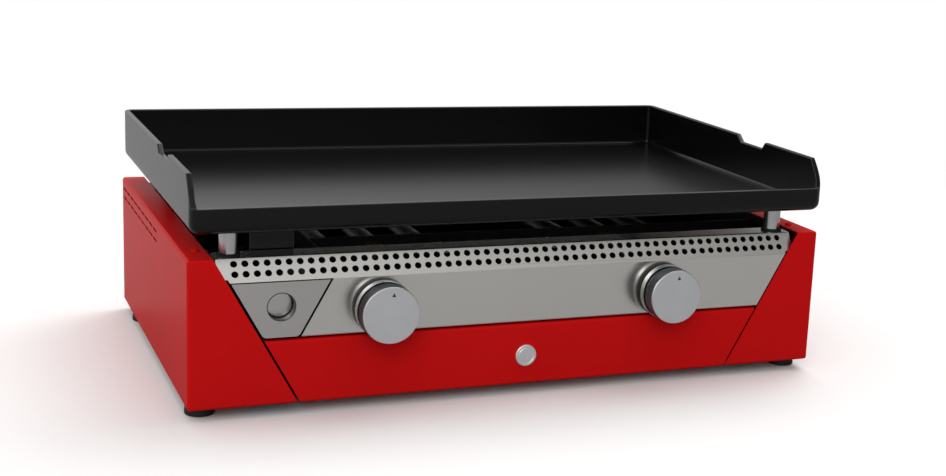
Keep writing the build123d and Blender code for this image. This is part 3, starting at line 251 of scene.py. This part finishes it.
# Finishes. Each look is a dictionary: colour and shade are its two tones, blotch and grain are
# sizes in metres, depth is the height of the grain in metres, rough is its least and most roughness,
# edge is a painted highlight, a pale tone laid along its edges and inner corners, and the reach entry after
# it says how far that goes, in metres

fieldDetail = {"blotch": 4.0, "grain": 2.0}  # finer layers in the two random fields


def buildFinish(name, look):
    finish = bpy.data.materials.new(name)
    finish.use_nodes = True
    tree = finish.node_tree
    shader = tree.nodes["Principled BSDF"]
    blotches = cloudField(tree, look["blotch"], fieldDetail["blotch"])
    tones = mixColours(tree, between(tree, blotches, 0.0, 1.0), look["colour"], look["shade"])
    # painted highlight: a pale tone mixed in along edges and inner corners
    if "edge" in look:
        tones = mixColours(tree, edgeField(tree, look["edgeReach"]), tones, look["edge"])
    tree.links.new(tones, shader.inputs["Base Color"])
    grain = cloudField(tree, look["grain"], fieldDetail["grain"], look.get("stretch", (1, 1, 1)))
    tree.links.new(between(tree, grain, *look["rough"]), shader.inputs["Roughness"])
    relief = addNode(tree, "ShaderNodeBump", {"Strength": 1.0, "Distance": look["depth"]})
    tree.links.new(grain, relief.inputs["Height"])
    tree.links.new(relief.outputs["Normal"], shader.inputs["Normal"])
    shader.inputs["Metallic"].default_value = look.get("metal", 0.0)
    shader.inputs["Specular IOR Level"].default_value = look.get("shine", 0.5)
    return finish


looks = {
    "red_paint": {  # semi-gloss powder coat with fine orange peel
        "colour": (0.640, 0.0080, 0.0086), "shade": (0.600, 0.0070, 0.0076), "blotch": 0.11,
        "grain": 0.0012, "depth": 0.0000022, "rough": (0.22, 0.27), "shine": 0.014,
    },
    "panel_steel": {  # satin stainless, brushed from side to side
        "colour": (0.76, 0.75, 0.71), "shade": (0.73, 0.72, 0.68), "blotch": 0.16, "metal": 1.0,
        "grain": 0.0003, "stretch": (90, 1, 1), "depth": 0.0000009, "rough": (0.21, 0.26),
    },
    "tray_steel": {  # the same sheet, brushed a little finer
        "colour": (0.62, 0.61, 0.59), "shade": (0.59, 0.58, 0.56), "blotch": 0.10, "metal": 1.0,
        "grain": 0.00025, "stretch": (90, 1, 1), "depth": 0.0000009, "rough": (0.20, 0.26),
    },
    "enamel": {  # black satin enamel, slightly pebbled
        "colour": (0.0014, 0.0015, 0.0017), "shade": (0.0008, 0.0009, 0.0011), "blotch": 0.06,
        # painted highlight: pale bluish tone on the rim edges and inner corners
        "edge": (0.060, 0.064, 0.080), "edgeReach": 0.0016,
        "grain": 0.0011, "depth": 0.000004, "rough": (0.19, 0.24), "shine": 0.30,
    },
    "cap_aluminium": {
        "colour": (0.79, 0.80, 0.82), "shade": (0.75, 0.76, 0.79), "blotch": 0.03, "metal": 1.0,
        "grain": 0.0004, "depth": 0.000001, "rough": (0.34, 0.40),
    },
    "bezel_chrome": {
        "colour": (0.50, 0.50, 0.50), "shade": (0.44, 0.44, 0.44), "blotch": 0.02, "metal": 1.0,
        "grain": 0.0006, "depth": 0.000002, "rough": (0.13, 0.20),
    },
    "grip_plastic": {
        "colour": (0.018, 0.020, 0.024), "shade": (0.012, 0.013, 0.016), "blotch": 0.02,
        "grain": 0.0005, "depth": 0.00002, "rough": (0.22, 0.30), "shine": 0.9,
    },
    "gasket_rubber": {
        "colour": (0.008, 0.008, 0.008), "shade": (0.005, 0.005, 0.005), "blotch": 0.02,
        "grain": 0.0007, "depth": 0.00002, "rough": (0.62, 0.76), "shine": 0.3,
    },
    "foot_rubber": {
        "colour": (0.0085, 0.0092, 0.0105), "shade": (0.006, 0.0065, 0.0075), "blotch": 0.02,
        "grain": 0.0008, "depth": 0.00003, "rough": (0.50, 0.64), "shine": 0.4,
    },
    "leg_steel": {  # turned bar, so the fine lines run round it
        "colour": (0.62, 0.62, 0.62), "shade": (0.54, 0.54, 0.54), "blotch": 0.015, "metal": 1.0,
        "grain": 0.0004, "stretch": (20, 20, 1), "depth": 0.000001, "rough": (0.20, 0.26),
    },
    # painted shade: this sheet's colour is set near black to stand for the dim inside of the body
    "galvanised": {  # zinc-coated sheet inside the body
        "colour": (0.024, 0.0245, 0.0255), "shade": (0.014, 0.0145, 0.0155), "blotch": 0.012,
        "metal": 0.9, "grain": 0.004, "depth": 0.000006, "rough": (0.40, 0.55),
    },
    # painted shade: near-black colour standing for the dim inside of the body
    "burner_steel": {
        "colour": (0.020, 0.0185, 0.0175), "shade": (0.010, 0.0085, 0.0080), "blotch": 0.05,
        "metal": 1.0, "grain": 0.0006, "stretch": (1, 30, 1), "depth": 0.000003, "rough": (0.30, 0.42),
    },
    "valve_brass": {
        "colour": (0.66, 0.46, 0.19), "shade": (0.50, 0.33, 0.12), "blotch": 0.02, "metal": 1.0,
        "grain": 0.0008, "depth": 0.00001, "rough": (0.22, 0.36),
    },
    "pipe_aluminium": {
        "colour": (0.66, 0.66, 0.67), "shade": (0.56, 0.56, 0.57), "blotch": 0.03, "metal": 1.0,
        "grain": 0.0006, "depth": 0.000006, "rough": (0.28, 0.40),
    },
    "screw_steel": {
        "colour": (0.60, 0.60, 0.61), "shade": (0.48, 0.48, 0.50), "blotch": 0.006, "metal": 1.0,
        "grain": 0.0005, "depth": 0.000006, "rough": (0.22, 0.34),
    },
    "medallion_metal": {
        "colour": (0.97, 0.97, 0.97), "shade": (0.92, 0.92, 0.92), "blotch": 0.006, "metal": 1.0,
        "grain": 0.0007, "depth": 0.00001, "rough": (0.30, 0.44),
    },
    "electrode_ceramic": {
        "colour": (0.80, 0.78, 0.72), "shade": (0.66, 0.62, 0.55), "blotch": 0.01,
        "grain": 0.0012, "depth": 0.00001, "rough": (0.16, 0.26),
    },
    "module_plastic": {
        "colour": (0.020, 0.020, 0.022), "shade": (0.014, 0.014, 0.016), "blotch": 0.02,
        "grain": 0.0006, "depth": 0.00003, "rough": (0.45, 0.60),
    },
}
finishes = {slot: buildFinish(slot, look) for slot, look in looks.items()}


def coat(piece, finish):
    piece.data.materials.clear()
    piece.data.materials.append(finish)


for row in frame["record"]["subparts"]:
    coat(nodes[row["node"]], finishes[row["material_slot"]])
coat(nodes["grease_trough"], finishes["galvanised"])  # painted shade: the trough takes the near-black inside finish so the holes behind the front read dark
print("finishes on", len(nodes), "parts")


# Knobs: a printed pointer on each cap and a knurled sleeve round each grip

pointer = {  # metres and degrees
    "width": 0.0037,
    "height": 0.0035,
    "up": 0.018,  # from the knob's axis to the pointer's middle
    "turn": 5.5,
    "ink": 0.00012,  # how far it stands out of the cap, and reaches into it
}
knurl = {  # metres
    "teeth": 78,  # ribs round the grip
    "rows": 6,  # rows of crossings along it
    "length": 0.0130,  # the grip's outer band, behind the cap
    "inset": 0.0005,  # kept free at both ends of it
    "base": 0.02452,  # radius between the ribs, just over the grip's own
    "height": 0.0008,
    "wall": 0.0008,  # how far the sleeve reaches into the grip
}


def newPiece(name, mesh, body, slot):
    piece = bpy.data.objects.new(name, mesh)
    scene.collection.objects.link(piece)
    coat(piece, finishes[slot])
    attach(piece, body)


def buildPointer(side):
    # small triangle near the cap's top, turned slightly clockwise
    low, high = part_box("knob_cap_" + side)
    middle = (low + high) / 2
    half, tall = pointer["width"] / 2, pointer["height"] / 2
    turn = math.radians(pointer["turn"])
    points = []
    for y in (low.y - pointer["ink"], low.y + pointer["ink"]):
        for across, up in ((-half, -tall), (half, -tall), (0, tall)):
            up += pointer["up"]
            x = middle.x + across * math.cos(turn) + up * math.sin(turn)
            z = middle.z + up * math.cos(turn) - across * math.sin(turn)
            points.append((x, y, z))
    faces = [(0, 1, 2), (5, 4, 3), (0, 3, 4, 1), (1, 4, 5, 2), (2, 5, 3, 0)]
    mesh = bpy.data.meshes.new("knobPointer_" + side)
    mesh.from_pydata(points, [], faces)
    newPiece("knobPointer_" + side, mesh, "knob_" + side, "grip_plastic")


def ringPoints(middle, y, radii):
    # one ring of points about a knob's axis, clockwise from the top
    count = len(radii)
    angles = [math.tau * step / count for step in range(count)]
    return [(middle.x + r * math.sin(a), y, middle.z + r * math.cos(a)) for r, a in zip(radii, angles)]


def knurlRadius(angle, share):
    slant = math.pi * knurl["rows"] * share
    wave = knurl["teeth"] / 2 * angle
    ribs = abs(math.sin(wave + slant) * math.sin(wave - slant))
    fade = min(1.0, 2 * knurl["rows"] * share, 2 * knurl["rows"] * (1 - share))
    return knurl["base"] + knurl["height"] * ribs * fade


def buildKnurl(side):
    # sleeve with crossed ribs, from just behind the cap towards the panel
    capLow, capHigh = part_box("knob_cap_" + side)
    middle = (capLow + capHigh) / 2
    start = capHigh.y + knurl["inset"]
    length = knurl["length"] - 2 * knurl["inset"]
    around, along = 4 * knurl["teeth"], 4 * knurl["rows"]
    inner = [knurl["base"] - knurl["wall"]] * around
    points = ringPoints(middle, start, inner)
    for step in range(along + 1):
        share = step / along
        radii = [knurlRadius(math.tau * turn / around, share) for turn in range(around)]
        points += ringPoints(middle, start + share * length, radii)
    points += ringPoints(middle, start + length, inner)
    rings = along + 3
    faces = []
    for ring in range(rings):
        nextRing = (ring + 1) % rings
        for turn in range(around):
            nextTurn = (turn + 1) % around
            corners = ((ring, turn), (ring, nextTurn), (nextRing, nextTurn), (nextRing, turn))
            faces.append([row * around + column for row, column in corners])
    mesh = bpy.data.meshes.new("knobKnurl_" + side)
    mesh.from_pydata(points, [], faces)
    newPiece("knobKnurl_" + side, mesh, "knob_" + side, "grip_plastic")


for side in ("left", "right"):
    buildPointer(side)
    buildKnurl(side)
print("knob details built")
